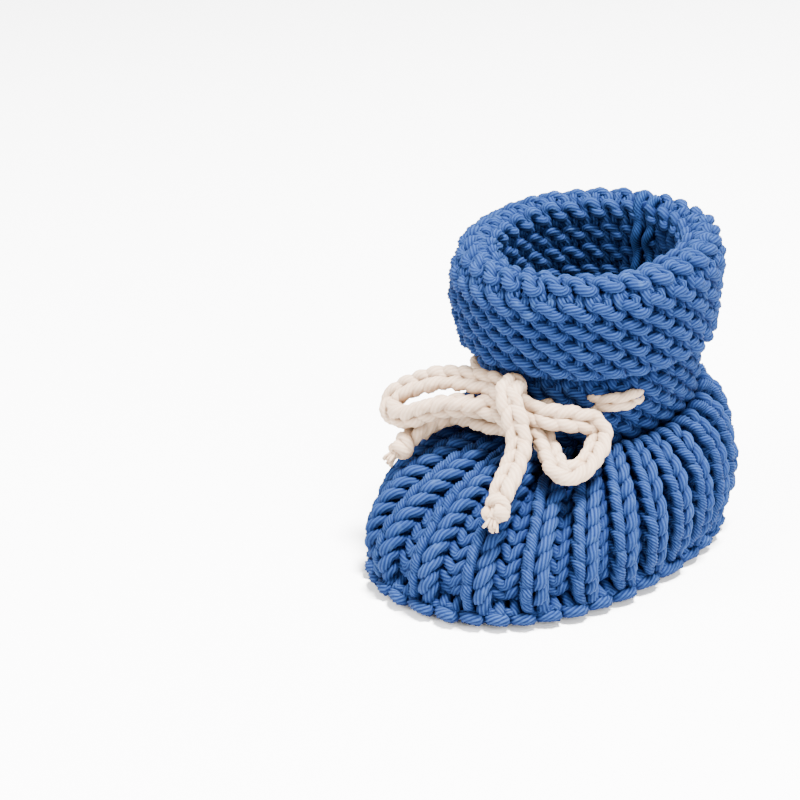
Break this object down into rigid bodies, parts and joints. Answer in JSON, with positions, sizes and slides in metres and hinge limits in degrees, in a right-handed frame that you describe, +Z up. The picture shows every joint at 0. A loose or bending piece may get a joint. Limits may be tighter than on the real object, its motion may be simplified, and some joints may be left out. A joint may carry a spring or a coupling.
{
  "type": "baby bootie",
  "caption": "Knitted baby bootie with a ribbed foot, a flat garter sole, a turned-down cuff and a crocheted tie bowed at the ankle.",
  "frame": {"origin": "on the ground, below the middle of the foot's length and width", "axes": "+Y towards the heel, -Y towards the toe, +X to the side of the shorter bow loop, +Z up the leg"},
  "size_m": [0.065, 0.0901, 0.0686],
  "materials": {
    "blue_yarn": "plied medium-blue knitting yarn, matt with a soft fuzz",
    "seam_yarn": "the same blue yarn, drawn tight along the seams",
    "cream_cord": "undyed cream yarn, crocheted into a chain cord"
  },
  "bodies": {
    "foot": {"sole": "blue_yarn", "sole_seam": "seam_yarn", "ribbed_foot": "blue_yarn", "heel_seam": "seam_yarn", "ankle_band": "blue_yarn", "leg_tube": "blue_yarn", "leg_seam": "seam_yarn", "ankle_tie": "cream_cord", "bow_knot": "cream_cord"},
    "cuff": {"cuff": "blue_yarn", "cuff_rim": "blue_yarn"},
    "loop_right": {"bow_loop_right": "cream_cord"},
    "loop_left": {"bow_loop_left": "cream_cord"},
    "tail_right": {"bow_tail_right": "cream_cord", "stopper_knot_right": "cream_cord"},
    "tail_left": {"bow_tail_left": "cream_cord", "stopper_knot_left": "cream_cord"}
  },
  "joints": [
    {"name": "cuff_turn_up", "type": "slide", "parent": "foot", "child": "cuff", "axis": [0, 0, 1], "range_m": [0, 0.014]},
    {"name": "loop_right_lift", "type": "hinge", "parent": "foot", "child": "loop_right", "pos_m": [0.0065, -0.0153, 0.0382], "axis": [0, -0.766, -0.6428], "range_deg": [0, 35]},
    {"name": "loop_left_lift", "type": "hinge", "parent": "foot", "child": "loop_left", "pos_m": [-0.0045, -0.0154, 0.037], "axis": [0, 0.5, 0.866], "range_deg": [0, 35]},
    {"name": "tail_right_lift", "type": "hinge", "parent": "foot", "child": "tail_right", "pos_m": [0.0026, -0.0189, 0.041], "axis": [-0.932, -0.3624, 0], "range_deg": [0, 75]},
    {"name": "tail_left_swing", "type": "hinge", "parent": "foot", "child": "tail_left", "pos_m": [-0.0024, -0.0142, 0.0312], "axis": [0, 0, 1], "range_deg": [0, 35]}
  ]
}
